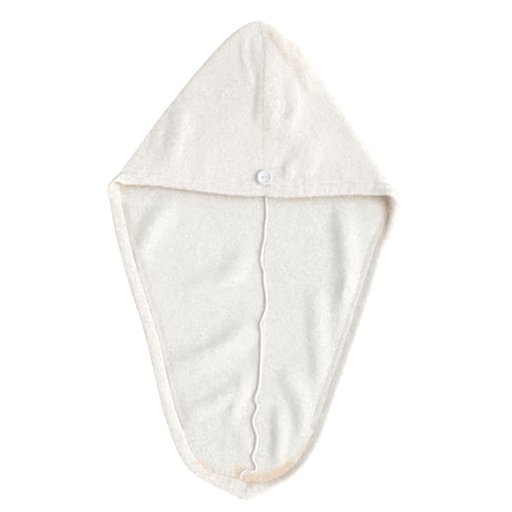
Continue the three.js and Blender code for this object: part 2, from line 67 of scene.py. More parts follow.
# The line of stitches along the hood's mouth, and the one down each side of the tail to its tip
MOUTH_STITCHES = {
    "left": [
        (14.5, 97.9), (-18.8, 98.8), (-52.8, 102.1), (-86.7, 106.4), (-120.6, 110.3), (-154.8, 113.0),
        (-171.9, 113.4),
    ],
    "right": [
        (14.8, 97.9), (43.2, 96.2), (71.1, 97.5), (98.9, 98.7), (126.7, 99.8), (154.5, 99.4), (168.5, 99.2),
    ],
}
TAIL_STITCHES = {
    "left": [
        (-173.5, 85.2), (-170.3, 63.7), (-165.6, 42.4), (-160.6, 21.1), (-155.6, -0.2),
        (-149.2, -21.2), (-142.9, -42.1), (-135.9, -62.8), (-129.3, -83.7), (-123.7, -104.8),
        (-118.5, -126.0), (-114.0, -147.4), (-109.1, -168.8), (-104.0, -190.0), (-97.4, -210.9),
        (-89.7, -231.3), (-81.0, -251.2), (-66.7, -267.7), (-51.8, -276.4), (-35.4, -281.7),
        (-22.7, -284.3), (-10.7, -289.0),
    ],
    "right": [
        (175.2, 71.0), (174.0, 49.4), (163.6, 30.4), (155.9, 10.0), (149.6, -10.9), (143.2, -31.7),
        (136.7, -52.5), (130.1, -73.3), (123.4, -94.1), (116.3, -114.8), (109.3, -135.4), (102.1, -156.0),
        (94.9, -176.5), (88.0, -197.2), (81.0, -217.9), (72.2, -237.7), (60.8, -256.2), (45.6, -271.9),
        (31.2, -281.4), (14.9, -286.5), (2.0, -286.2), (-10.4, -289.0),
    ],
}
BACK_SEAM = [
    (5.7, 305.0), (7.6, 252.4), (9.8, 199.9), (12.7, 147.3), (15.3, 94.8), (14.8, 59.7), (13.0, 24.7),
    (12.9, -10.4), (12.1, -45.5), (10.4, -80.5), (8.2, -115.5), (5.6, -150.5), (2.8, -185.4), (1.5, -220.5),
    (-0.4, -255.4), (-4.8, -272.4), (-10.6, -289.0), (-10.6, -313.0),
]
HOOD_SEAM = [
    (14.7, 82.0), (14.7, 97.9), (11.7, 135.5), (10.7, 173.6), (11.4, 211.5), (12.6, 249.4), (11.2, 287.1),
    (5.7, 305.1),
]
BUTTON_AT = (13.6, 107.0)

# Folds: each crest runs from its upper end to its lower one, with its height and its width to the left
# and to the right of the crest. First the shallow ones that spread from the crown, then those by the mouth.
HOOD_FOLDS = [
    ([(12, 292), (14, 262), (16, 240), (15, 214), (12, 184), (9, 160)], 4.6, 13, 22),
    ([(20, 303), (29, 291), (39, 277), (49, 262), (55, 247)], 2.4, 9, 11),
    ([(49, 286), (58, 267), (63, 247), (71, 224), (77, 206)], 3.0, 10, 15),
    ([(44, 242), (52, 222), (56, 204), (52, 186), (42, 172), (30, 161)], 2.0, 13, 9),
    ([(-11, 296), (-13, 273), (-9, 247), (-3, 224)], 1.6, 6, 7),
    ([(3, 290), (1, 262), (3, 236)], 1.4, 6, 6),
    ([(-93, 207), (-94, 185), (-97, 163), (-109, 125)], 2.5, 16, 11),
    ([(-119, 174), (-130, 140)], 1.5, 9, 9),
    ([(45, 133), (44, 101)], 1.5, 8, 8),
    ([(80, 148), (74, 128), (64, 104)], 2.0, 12, 13),
    ([(119, 120), (117, 101)], 1.2, 10, 14),
    ([(-67, 130), (-65, 107)], 1.1, 9, 9),
]
TAIL_FOLDS = [
    ([(-104, 88), (-125, 58), (-145, 20)], 1.4, 17, 15),
    ([(-8, 24), (-16, -14), (-47, -30), (-85, -33)], 2.5, 18, 12),
    ([(6, -62), (-15, -100), (-51, -124), (-101, -145)], 4.0, 18, 21),
    ([(11, -55), (10, -105), (5, -160)], 1.6, 13, 5),
    ([(114, 83), (122, 26), (127, -32), (119, -88)], 0.65, 15, 14),
    ([(80, -49), (82, -117), (86, -151)], 0.35, 13, 13),
    ([(34, -146), (58, -176), (68, -213)], 1.1, 17, 15),
    ([(32, -192), (35, -231), (27, -265)], 0.8, 12, 12),
    ([(-9, -140), (-12, -172), (-28, -206)], 2.6, 11, 9),
    ([(-18, -168), (-62, -194), (-96, -207)], 3.3, 16, 12),
    ([(-20, -205), (-12, -234), (-6, -262)], 1.7, 15, 8),
    ([(-133, 5), (-145, -13)], 1.0, 9, 8),
]


def smooth(x):
    t = np.clip(x, 0, 1)
    return t * t * (3 - 2 * t)


def curve_through(points, step=4.0):
    """Points about a step apart on a smooth curve through the given ones."""
    given = np.array(points, float)
    ends = np.vstack([2 * given[0] - given[1], given, 2 * given[-1] - given[-2]])
    line = []
    for a, b, c, d in zip(ends, ends[1:], ends[2:], ends[3:]):
        count = max(int(np.linalg.norm(c - b) / step), 1)
        for t in np.arange(count) / count:
            bend = 2 * b + (c - a) * t + (2 * a - 5 * b + 4 * c - d) * t**2 + (3 * b - a - 3 * c + d) * t**3
            line.append(bend / 2)
    return np.array(line + [given[-1]])


def beside(line, spots):
    """Distance of each spot from a line, how far along the line it is, and the side of it, 1 for left."""
    near = np.full(len(spots), np.inf)
    along = np.zeros(len(spots))
    side = np.ones(len(spots))
    start = 0.0
    for a, b in zip(line, line[1:]):
        step = b - a
        length = max(np.hypot(*step), 1e-9)
        share = np.clip((spots - a) @ step / length**2, 0, 1)
        gap = spots - a - share[:, None] * step
        distance = np.hypot(gap[:, 0], gap[:, 1])
        closer = distance < near
        near = np.where(closer, distance, near)
        along = np.where(closer, start + share * length, along)
        side = np.where(closer, np.sign(step[0] * gap[:, 1] - step[1] * gap[:, 0]), side)
        start += length
    return near, along, side


def fold_rise(folds, spots):
    rise = np.zeros(len(spots))
    for crest, height, left, right in folds:
        line = curve_through(crest, 12)
        near, along, side = beside(line, spots)
        length = np.hypot(*np.diff(line, axis=0).T).sum()
        share = near / np.where(side > 0, right, left)
        fade = smooth(np.minimum(along, length - along) / (0.3 * length))
        rise += height * np.maximum(1 - share**2, 0) ** 1.3 * fade
    return rise


def noise_at(spots, size, seed):
    """Smooth noise from -1 to 1 whose lumps are about the given size across."""
    shift = Vector((seed * 17.3, seed * 5.1, seed * 9.7))
    return np.array([noise.noise(Vector(spot) / size + shift) for spot in spots.tolist()])


stitch_lines = {
    side: [curve_through(MOUTH_STITCHES[side]), curve_through(TAIL_STITCHES[side])] for side in SIDES
}
hood_seam_line = curve_through(HOOD_SEAM)
back_seam_line = curve_through(BACK_SEAM)


def hood_rise(spots):
    """How far the hood's folds, the hollow of its seam and its soft lumps move it up or down."""
    seam = beside(hood_seam_line, spots)[0]
    button = np.hypot(*(spots - BUTTON_AT).T)
    flat = np.c_[spots, 0 * seam]
    lumps = 0.6 * noise_at(flat, 34, 1) + 0.3 * noise_at(flat, 13, 2)
    rise = fold_rise(HOOD_FOLDS, spots) + lumps
    rise -= SEAM_HOLLOW * np.exp(-((seam / SEAM_HOLLOW_WIDTH) ** 2))
    return rise * smooth((button - 10) / 10)


def tail_rise(spots):
    """The same for the inside of the back and the tail, which can't go below the surface."""
    edge = np.min([beside(stitch_lines[side][1], spots)[0] for side in SIDES], axis=0)
    flat = np.c_[spots, 0 * edge]
    lumps = 0.45 * noise_at(flat, 30, 3) + 0.25 * noise_at(flat, 12, 4)
    return (fold_rise(TAIL_FOLDS, spots) + 0.8 + lumps) * smooth(edge / 16) * smooth((96 - spots[:, 1]) / 25)


def pucker(spots):
    """The small ripples that a line of stitches draws into thick cloth."""
    rise = np.zeros(len(spots))
    for lines in stitch_lines.values():
        for line in lines:
            near, along, _ = beside(line, spots)
            phase = along / 11 + 0.8 * np.sin(along / 23) + 0.5 * np.sin(along / 9.1)
            rise += PUCKER * np.sin(2 * np.pi * phase) * np.exp(-((near / PUCKER_WIDTH) ** 2))
    return rise


def drawn_together(points, side):
    """The panels and hems of both sides meet at the seam, so what is near it moves up to the seam line."""
    moved = points.copy()
    for line, here in ((hood_seam_line, points[:, 2] > 8), (back_seam_line, points[:, 2] <= 8)):
        near = beside(line, points[:, :2])[0]
        moved[:, 0] -= SIDES[side] * SEAM_GAP / 2 * np.exp(-((near / 2) ** 2)) * here
    return moved


def positions(mesh, name="co", kind="vertices"):
    flat = np.empty(3 * len(getattr(mesh, kind)), np.float64)
    getattr(mesh, kind).foreach_get(name, flat)
    return flat.reshape(-1, 3)


def keep_value(mesh, name, values):
    """Stores a value for each corner point of the mesh under a name."""
    mesh.attributes.new(name, "FLOAT", "POINT").data.foreach_set("value", values.astype(np.float32))


def place(mesh, points):
    mesh.vertices.foreach_set("co", points.ravel())
    mesh.update()


def keep_above_table(mesh, lowest=0.0):
    points = positions(mesh)
    points[:, 2] = np.maximum(points[:, 2], lowest)
    place(mesh, points)


def new_piece(name, mesh):
    piece = bpy.data.objects.new(name, mesh)
    bpy.context.scene.collection.objects.link(piece)
    return piece


def finished(piece):
    """The piece's mesh with its modifiers worked into it."""
    depsgraph = bpy.context.evaluated_depsgraph_get()
    mesh = bpy.data.meshes.new_from_object(piece.evaluated_get(depsgraph), depsgraph=depsgraph)
    piece.modifiers.clear()
    old = piece.data
    piece.data = mesh
    bpy.data.meshes.remove(old)
    mesh.name = piece.name
    return mesh


def smoothed_copy(node, name, splits):
    """A copy of a CAD node, its triangles joined to quads and smoothly divided."""
    work = bmesh.new()
    work.from_mesh(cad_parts[node].data)
    bmesh.ops.remove_doubles(work, verts=work.verts, dist=1e-6)
    limit = math.radians(50)
    bmesh.ops.join_triangles(work, faces=work.faces, angle_face_threshold=limit, angle_shape_threshold=limit)
    crease = work.edges.layers.float.new("crease_edge")
    for edge in work.edges:
        if len(edge.link_faces) == 2 and edge.calc_face_angle() > CUT_EDGE:
            edge[crease] = CUT_CREASE
    mesh = bpy.data.meshes.new(name)
    work.to_mesh(mesh)
    work.free()
    for layer in list(mesh.uv_layers):
        mesh.uv_layers.remove(layer)
    mesh.materials.clear()
    piece = new_piece(name, mesh)
    rounding = piece.modifiers.new("rounding", "SUBSURF")
    rounding.levels = rounding.render_levels = splits
    finished(piece)
    piece.data.shade_smooth()
    return piece


def feed(tree, node, values):
    """Sets a node's inputs; each is a number, a colour or the socket that it comes from."""
    for socket, value in dict(values).items():
        if isinstance(value, bpy.types.NodeSocket):
            tree.links.new(value, node.inputs[socket])
        else:
            node.inputs[socket].default_value = value


def node_in(tree, kind, values=(), at=(0, 0), **settings):
    """Puts a node in a tree, with its settings and inputs, and gives its outputs."""
    node = tree.nodes.new(kind)
    node.location = at
    for key, value in settings.items():
        setattr(node, key, value)
    feed(tree, node, values)
    return node.outputs


def new_material(name):
    material = bpy.data.materials.new(name)
    material.use_nodes = True
    return material, material.node_tree, material.node_tree.nodes["Principled BSDF"]


def nap_group():
    """The fleece's nap as a shader group: soft clumps of fibre, fine fibre ends and slow colour changes."""
    group = bpy.data.node_groups.new("fleece nap", "ShaderNodeTree")
    for label, kind in (("Light", "Color"), ("Shade", "Color"), ("Clump", "Float")):
        group.interface.new_socket(label, in_out="INPUT", socket_type=f"NodeSocket{kind}")
    for label, kind in (("Colour", "Color"), ("Height", "Float")):
        group.interface.new_socket(label, in_out="OUTPUT", socket_type=f"NodeSocket{kind}")
    given = node_in(group, "NodeGroupInput")
    where = node_in(group, "ShaderNodeTexCoord")["Object"]
    bend = node_in(group, "ShaderNodeTexNoise", {"Vector": where, "Scale": 160})["Color"]
    bent = {0: bend, 1: (0.002, 0.002, 0.002), 2: where}
    shifted = node_in(group, "ShaderNodeVectorMath", bent, operation="MULTIPLY_ADD")[0]
    cells = {"Vector": shifted, "Scale": given["Clump"], "Smoothness": 0.6}
    clumps = node_in(group, "ShaderNodeTexVoronoi", cells, feature="SMOOTH_F1")["Distance"]
    fibres = node_in(group, "ShaderNodeTexNoise", {"Vector": shifted, "Scale": 1500, "Detail": 3})["Fac"]
    drift = node_in(group, "ShaderNodeTexNoise", {"Vector": where, "Scale": 45, "Detail": 4})["Fac"]
    fine = node_in(group, "ShaderNodeMath", {0: fibres, 1: 0.55}, operation="MULTIPLY")[0]
    height = node_in(group, "ShaderNodeMath", {0: clumps, 1: -1.0, 2: fine}, operation="MULTIPLY_ADD")[0]
    # painted shade in the hollows between clumps, and slow changes of tone that the cloth has
    shades = []
    for value, least, most, share in ((clumps, 0.15, 0.75, 0.55), (drift, 0.35, 0.7, 0.35)):
        spread = {"Value": value, "From Min": least, "From Max": most, "To Min": 0.0, "To Max": share}
        shades.append(node_in(group, "ShaderNodeMapRange", spread)[0])
    total = node_in(group, "ShaderNodeMath", {0: shades[0], 1: shades[1]}, operation="ADD", use_clamp=True)[0]
    mixed = {0: total, 6: given["Light"], 7: given["Shade"]}
    colour = node_in(group, "ShaderNodeMix", mixed, data_type="RGBA")[2]
    node_in(group, "NodeGroupOutput", {"Colour": colour, "Height": height})
    return group


nap = nap_group()


def tinted_by_painted_shade(tree, colour):
    """Painted shade: multiplies the colour towards a warm brown as far as the stored value says."""
    shade_paint = node_in(tree, "ShaderNodeAttribute", at=(-500, 300), attribute_name="shade_paint")["Fac"]
    values = {0: shade_paint, 6: colour, 7: PAINTED_SHADE_BROWN}
    return node_in(tree, "ShaderNodeMix", values, (-200, 200), data_type="RGBA", blend_type="MULTIPLY")[2]


def fleece_material(name, light, shade, clump, depth):
    material, tree, shader = new_material(name)
    tones = {"Light": light, "Shade": shade, "Clump": clump}
    effect = node_in(tree, "ShaderNodeGroup", tones, (-500, 0), node_tree=nap)
    relief = {"Distance": depth, "Strength": 0.7, "Height": effect["Height"]}
    looks = {
        "Roughness": 0.95, "Specular IOR Level": 0.2, "Sheen Weight": 0.25, "Sheen Roughness": 0.6,
        "Sheen Tint": (1.0, 0.96, 0.9, 1), "Base Color": tinted_by_painted_shade(tree, effect["Colour"]),
        "Normal": node_in(tree, "ShaderNodeBump", relief, (-250, -200))["Normal"],
    }
    feed(tree, shader, looks)
    return material


panel_fleece = fleece_material("panel fleece", INSIDE, SHADE, 620, 0.0007)


def dressed_panel(side):
    piece = smoothed_copy(f"{side}_panel", f"{side}_panel_fleece", PANEL_SPLITS)
    mesh = piece.data
    points = positions(mesh) / MM
    normals = positions(mesh, "normal")
    spots = points[:, :2]
    raised = smooth((points[:, 2] - 9) / 4) * smooth((points[:, 1] - 88) / 6)
    rise = raised * hood_rise(spots) + (1 - raised) * tail_rise(spots) + pucker(spots)
    middle = points[:, 2] - np.sign(normals[:, 2]) * CLOTH / 2
    points[:, 2] += np.maximum(rise, CLOTH / 2 - middle)
    points[:, 2] = np.maximum(points[:, 2], 0)
    points = drawn_together(points, side)
    place(mesh, points * MM)
    # the nap stands where the cloth shows, and lies flatter beside the stitches and under the button
    normals = positions(mesh, "normal")
    up = smooth((normals[:, 2] - 0.1) / 0.3) * ((points[:, 2] > 12) | (points[:, 1] < 112))
    out = smooth((normals[:, 0] * SIDES[side] - 0.2) / 0.3) * smooth((normals[:, 2] + 0.5) / 0.4)
    stitches = np.min([beside(line, spots)[0] for line in stitch_lines[side]], axis=0)
    flat = 0.6 + 0.4 * smooth((stitches - 0.8) / 2.5)
    clear = smooth((np.hypot(*(spots - BUTTON_AT).T) - 9) / 3)
    clear = np.where(points[:, 2] > 12, clear, 1)
    nap_length = np.maximum(up, out) * flat * clear
    on_hood = (points[:, 2] > 12) & (points[:, 1] > 70) | (points[:, 1] > 112)
    for name, here in (("hood pile", on_hood), ("tail pile", ~on_hood)):
        keep_value(mesh, name, nap_length * here)
    mesh.materials.append(panel_fleece)
    return piece


panels = {side: dressed_panel(side) for side in SIDES}
for side in SIDES:
    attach(panels[side], "root")
    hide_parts(f"{side}_panel")


def surface_of(*pieces):
    """The joined surface of some pieces, to lay other things on."""
    corners, faces = [], []
    for piece in pieces:
        start = len(corners)
        corners += [v.co.copy() for v in piece.data.vertices]
        faces += [[start + i for i in face.vertices] for face in piece.data.polygons]
    return BVHTree.FromPolygons(corners, faces)


panel_surface = surface_of(*panels.values())


def top_at(surface, x, y, start):
    """Height in millimetres of the surface below a point that is given in millimetres."""
    hit = surface.ray_cast(Vector((x, y, start)) * MM, Vector((0, 0, -1)))[0]
    return hit.z / MM if hit else 0.0


# Hems
# The cloth is turned to the inside all round the opening and sewn down, so that the edge is a soft roll with
# a groove at its stitches. Past the stitches its raw edge shows as a flat strip on the inside of the tail.
HEM_SPLITS = 2
GROOVE_ROUND = 1.35
CORNER_STITCHES = {
    "left": [
        (-174.0, 113.0, 13.6), (-176.2, 107.2, 11.3), (-177.6, 100.2, 8.2), (-177.6, 92.7, 4.9),
        (-176.1, 87.4, 2.4), (-173.7, 85.3, 1.5),
    ],
    "right": [
        (171.5, 98.4, 18.4), (176.5, 95.0, 16.0), (179.8, 88.4, 12.2), (181.2, 81.3, 8.0), (180.4, 75.2, 4.0),
        (177.3, 71.8, 1.8), (175.3, 71.1, 1.5),
    ],
}
CORNER_AT = {"left": (-180.0, 92.0, 8.0), "right": (184.0, 80.0, 9.0)}
CORNER_REACH = {"left": 13.0, "right": 17.0}
CORNER_BULGE = {"left": 2.5, "right": 6.0}
TAIL_SLOPE = {"left": 0.75, "right": 0.35}
# The thick end of the roll where it turns down round the right corner: its middle and its half thickness
CORNER_ROLL = [
    (158.0, 91.5, 14.8, 4.0), (166.0, 91.5, 14.8, 5.2), (173.0, 90.4, 14.2, 5.9), (179.2, 86.6, 12.4, 6.2),
    (183.0, 79.6, 9.6, 6.4), (183.7, 70.5, 6.9, 6.3), (182.7, 61.0, 4.9, 6.2), (180.4, 50.0, 3.4, 5.8),
    (176.9, 39.5, 2.4, 5.1), (172.5, 29.5, 1.7, 4.2), (167.4, 19.0, 1.2, 3.2),
]
RAW_EDGE_SECTION = [
    (0.2, -0.6), (0.1, 0.5), (1.2, 0.8), (3.0, 0.7), (5.0, 0.65), (6.3, 0.35), (7.4, 0.0), (7.2, -0.6),
]
RAW_EDGE_HEIGHT = {"left": 1.3, "right": 0.7}
RAW_EDGE_END = -222.0
hem_fleece = fleece_material("hem fleece", OUTSIDE, SHADE, 560, 0.0008)
cut_hems = {side: smoothed_copy(f"{side}_hem", f"{side}_hem_fleece", HEM_SPLITS) for side in SIDES}


def swept(rings):
    """A closed solid through a row of rings that each have the same number of points."""
    count = len(rings[0])
    faces = []
    for n in range(len(rings) - 1):
        for j in range(count):
            k = (j + 1) % count
            faces.append([n * count + j, n * count + k, (n + 1) * count + k, (n + 1) * count + j])
    faces += [list(range(count)), [(len(rings) - 1) * count + j for j in range(count)]]
    mesh = bpy.data.meshes.new("swept")
    mesh.from_pydata([tuple(spot) for ring in rings for spot in ring], [], faces)
    work = bmesh.new()
    work.from_mesh(mesh)
    bmesh.ops.recalc_face_normals(work, faces=work.faces)
    if work.calc_volume(signed=True) < 0:
        bmesh.ops.reverse_faces(work, faces=work.faces)
    work.to_mesh(mesh)
    work.free()
    return mesh


def tube(path, radius, sides):
    """A round bar along a path in millimetres, closed at its ends, with one radius or one for each point."""
    path = np.asarray(path, float)
    turns = [2 * math.pi * n / sides for n in range(sides)]
    out = Vector((0, 1, 0))
    rings = []
    for spot, way, half in zip(path, np.gradient(path, axis=0), np.broadcast_to(radius, len(path))):
        way = Vector(way).normalized()
        out = (out - way * out.dot(way)).normalized()
        up = way.cross(out)
        rings.append([(Vector(spot) + (out * math.cos(t) + up * math.sin(t)) * half) * MM for t in turns])
    return swept(rings)


def add_to(piece, *meshes):
    """Joins some meshes into a piece."""
    work = bmesh.new()
    work.from_mesh(piece.data)
    for mesh in meshes:
        work.from_mesh(mesh)
    work.to_mesh(piece.data)
    work.free()
    for mesh in meshes:
        bpy.data.meshes.remove(mesh)
    keep_above_table(piece.data)
    piece.data.shade_smooth()


def cloth_top(spot):
    """Height of the inside of the tail, or of the hood's outside, at a place on a line of stitches."""
    x, y = spot[:2]
    return top_at(panel_surface, x, y, 40 if y < 60 or y > 97 else 14)


def inward_of(line):
    """Unit steps from a line on the tail towards the tail's middle."""
    along = np.gradient(line, axis=0)
    across = np.c_[-along[:, 1], along[:, 0]] / np.hypot(along[:, 0], along[:, 1])[:, None]
    return across * np.sign((across * (np.array([0, -80]) - line)).sum(axis=1))[:, None]


def raw_edge(side):
    """The flat strip inside the stitches, lying on the panel."""
    line = curve_through(TAIL_STITCHES[side], 2.0)[6:]
    line = line[line[:, 1] > RAW_EDGE_END]
    rings = []
    for n, (spot, way) in enumerate(zip(line, inward_of(line))):
        ripple = noise.noise(Vector((n / 4.0, 3.1, SIDES[side])))
        thin = smooth(min(n / 24, (len(line) - 1 - n) / 10))
        ring = []
        for out, high in RAW_EDGE_SECTION:
            x, y = spot + way * out * (1 + 0.12 * ripple)
            lift = high * RAW_EDGE_HEIGHT[side] * (thin if high > 0 else 1) * (1 + 0.15 * ripple)
            ring.append((x * MM, y * MM, max(cloth_top((x, y)) + lift, 0.2) * MM))
        rings.append(ring)
    return swept(rings)


def stitch_path(side):
    """The whole line of stitches of one side in space, from the seam round the corner to the tip."""
    mouth, tail = (line[1:-1] for line in stitch_lines[side])
    upper = [(x, y, cloth_top((x, y + 2.5)) - GROOVE_ROUND) for x, y in mouth[::2]]
    lower = []
    for spot, way in zip(tail[2::2], inward_of(tail)[2::2]):
        lower.append((*spot, cloth_top(spot + way * 2.5) - GROOVE_ROUND))
    return curve_through(upper + CORNER_STITCHES[side][1:-1] + lower, 3.0)


def dressed_hem(side):
    piece = cut_hems[side]
    points = positions(piece.data) / MM
    normals = positions(piece.data, "normal")
    spots = points[:, :2]
    lines = stitch_lines[side]
    raised = smooth((points[:, 2] - 6) / 6) * smooth((points[:, 1] - 60) / 25)
    near = np.min([beside(line, spots)[0] for line in lines], axis=0)
    along = beside(np.vstack(lines), spots)[1]
    points[:, 2] += raised * hood_rise(spots) * smooth(1 - near / 18) + pucker(spots)
    # slanting ripples and soft lumps, as the turned cloth creeps under the stitches
    ripple = np.sin(2 * np.pi * (along / 12.5 + near / 26 + 0.9 * noise_at(np.c_[spots, 0 * near], 60, 5)))
    puff = (0.16 * ripple + 0.5 * noise_at(points, 9, 6)) * smooth(near / 5)
    points += normals * puff[:, None]
    # on the tail the roll slopes gently down to its stitches, and least steeply on the right
    on_tail = smooth((70 - points[:, 1]) / 30) * (points[:, 2] > 3)
    slope = TAIL_SLOPE[side] + (1 - TAIL_SLOPE[side]) * smooth(near / 10)
    points[:, 2] = np.where(on_tail > 0, 3 + (points[:, 2] - 3) * (1 + on_tail * (slope - 1)), points[:, 2])
    # the roll stays full where it turns round the mouth's corner, and bulges into the opening
    corner = np.exp(-((np.linalg.norm(points - CORNER_AT[side], axis=1) / CORNER_REACH[side]) ** 2))
    inner = np.clip(-normals[:, 0] * SIDES[side], 0, 1) + 0.7 * np.clip(normals[:, 2], 0, 1)
    points[:, 0] -= SIDES[side] * CORNER_BULGE[side] * corner * np.minimum(inner, 1)
    points[:, 2] += 0.25 * CORNER_BULGE[side] * corner * np.clip(normals[:, 2], 0, 1)
    points = drawn_together(points, side)
    points[:, 2] = np.maximum(points[:, 2], 0)
    place(piece.data, points * MM)
    add_to(piece, raw_edge(side), tube(stitch_path(side), GROOVE_ROUND, 8))
    if side == "right":
        roll = curve_through(CORNER_ROLL, 1.8)
        uneven = 1 + 0.05 * noise_at(roll[:, :3], 7, 9)
        add_to(piece, tube(roll[:, :3], roll[:, 3] * uneven, 24))
    points = positions(piece.data) / MM
    normals = positions(piece.data, "normal")
    near = np.min([beside(line, points[:, :2])[0] for line in lines], axis=0)
    lip = np.where(points[:, 2] > 8, 0.8, 0.45)
    shown = smooth((normals[:, 2] + lip) / 0.4) * (0.6 + 0.4 * smooth((near - 0.8) / 2.5))
    clear = smooth((np.hypot(*(points[:, :2] - BUTTON_AT).T) - 9) / 3)
    keep_value(piece.data, "hem pile", shown * np.where(points[:, 1] > 90, clear, 1))
    piece.data.materials.append(hem_fleece)
    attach(piece, "root")
    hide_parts(f"{side}_hem")
    return piece


def seam_fill(surface, line, sink):
    """A cord of turned cloth inside a seam, a little below the surfaces that meet there."""
    path = []
    for x, y in line:
        above = 40 if y > 90 or y < 60 else 14
        top = min(top_at(surface, x + step, y, above) for step in (-1.4, 1.4))
        path.append((x, y, top - sink))
    return tube(path, 1.2, 8)


hems = {side: dressed_hem(side) for side in SIDES}
hood_line = hood_seam_line[hood_seam_line[:, 1] > 100]
tail_line = back_seam_line[(back_seam_line[:, 1] < 60) & (back_seam_line[:, 1] > -292)]
tip_line = curve_through([(-10.55, -290), (-10.6, -309)])
add_to(panels["left"], seam_fill(panel_surface, hood_line, 1.45), seam_fill(panel_surface, tail_line, 1.45))
add_to(hems["left"], seam_fill(surface_of(*hems.values()), tip_line, 1.5))
cloth_surface = surface_of(*panels.values(), *hems.values())

# Seam allowance
# The two panels are joined by an overlocked seam. Its allowance stands up on the inside as a narrow ridge of
# cloth, bound by loops of thread, and sways a little from side to side on its way down the tail.
SEAM_SPLITS = 2
RIDGE_NARROWED = 0.78
RIDGE_WIDTH = 3.4
RIDGE_END = -262.0
RIDGE_SECTION = [(-1, 0), (-1, 0.6), (-0.55, 1), (0.55, 1), (1, 0.6), (1, 0)]
SEAM_RIDGE = [
    (15.1, 96), (15.0, 83.2), (16.3, 57.2), (14.3, 44.2), (13.7, 28.6), (11.1, 16.9),
    (9.0, 2.6), (10.3, -7.8), (13.0, -15.6), (13.0, -28.6), (15.6, -45.5), (15.6, -62.4),
    (11.1, -75.4), (7.7, -84.5), (9.6, -96.2), (8.3, -137.8), (6.3, -163.8), (1.1, -181.5),
    (4.3, -190.7), (-0.9, -205.4), (-0.3, -217.1), (3.7, -230.1), (1.1, -247.8), (-2.3, -257.1),
    (2.4, -267.8), (1.6, -273.6), (-4.5, -275.2), (-11.3, -273.7), (-16.5, -278.0), (-18.5, -284.0),
]
# painted shade: the bare ridge is darker than the other fleece, as the shade inside a pile would make it
SEAM_EDGE_SHADED = (0.820, 0.805, 0.785, 1)
SEAM_SHADE = (0.700, 0.668, 0.632, 1)
OVERLOCK_PITCH = 2.6
THREAD_WHITE = (0.86, 0.855, 0.84, 1)
seam_fleece = fleece_material("seam fleece", SEAM_EDGE_SHADED, SEAM_SHADE, 800, 0.0004)
seam = smoothed_copy("centre_seam", "centre_seam_fleece", SEAM_SPLITS)
points = positions(seam.data) / MM
on_tail = (points[:, 2] < 12) * smooth((105 - points[:, 1]) / 12)
bins = np.arange(-264, 110, 4.0)
middles = [points[(np.abs(points[:, 1] - y) < 5) & (points[:, 2] < 12), 0].mean() for y in bins]
old_middle = np.interp(points[:, 1], bins, middles)
ridge = curve_through(SEAM_RIDGE, 2.0)
hook_at = np.argmin(ridge[:, 1] > RIDGE_END)
new_middle = np.interp(points[:, 1], ridge[hook_at::-1, 1], ridge[hook_at::-1, 0])
points[:, 0] += on_tail * (new_middle - old_middle - (1 - RIDGE_NARROWED) * (points[:, 0] - old_middle))
points[:, 2] += on_tail * (tail_rise(points[:, :2]) + 0.25 * noise_at(points, 6, 8))
place(seam.data, points * MM)


def ridge_end():
    """The end of the ridge, which turns aside along the hem and goes under it."""
    line = curve_through(ridge[hook_at - 2 :], 1.2)
    along = np.gradient(line, axis=0)
    across = np.c_[-along[:, 1], along[:, 0]] / np.hypot(along[:, 0], along[:, 1])[:, None]
    rings = []
    for n, (spot, way) in enumerate(zip(line, across)):
        base = top_at(panel_surface, *spot, 30) - 0.3
        height = 1.2 + 1.6 * smooth((len(line) - n) / 14)
        ring = []
        for wide, high in RIDGE_SECTION:
            ring.append((*((spot + way * wide * RIDGE_WIDTH / 2) * MM), (base + high * height) * MM))
        rings.append(ring)
    return swept(rings)


add_to(seam, ridge_end())
seam.data.materials.append(seam_fleece)
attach(seam, "root")
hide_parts("centre_seam")
seam_surface = surface_of(seam)


def nodes_for(name, sockets):
    """An empty Geometry Nodes tree with named inputs, and a function that puts a node in it."""
    tree = bpy.data.node_groups.new(name, "GeometryNodeTree")
    for label, kind in sockets.items():
        tree.interface.new_socket(label, in_out="INPUT", socket_type=f"NodeSocket{kind}")
    tree.interface.new_socket("Made", in_out="OUTPUT", socket_type="NodeSocketGeometry")

    def put(kind, values=(), **settings):
        return node_in(tree, kind, values, **settings)

    return tree, put


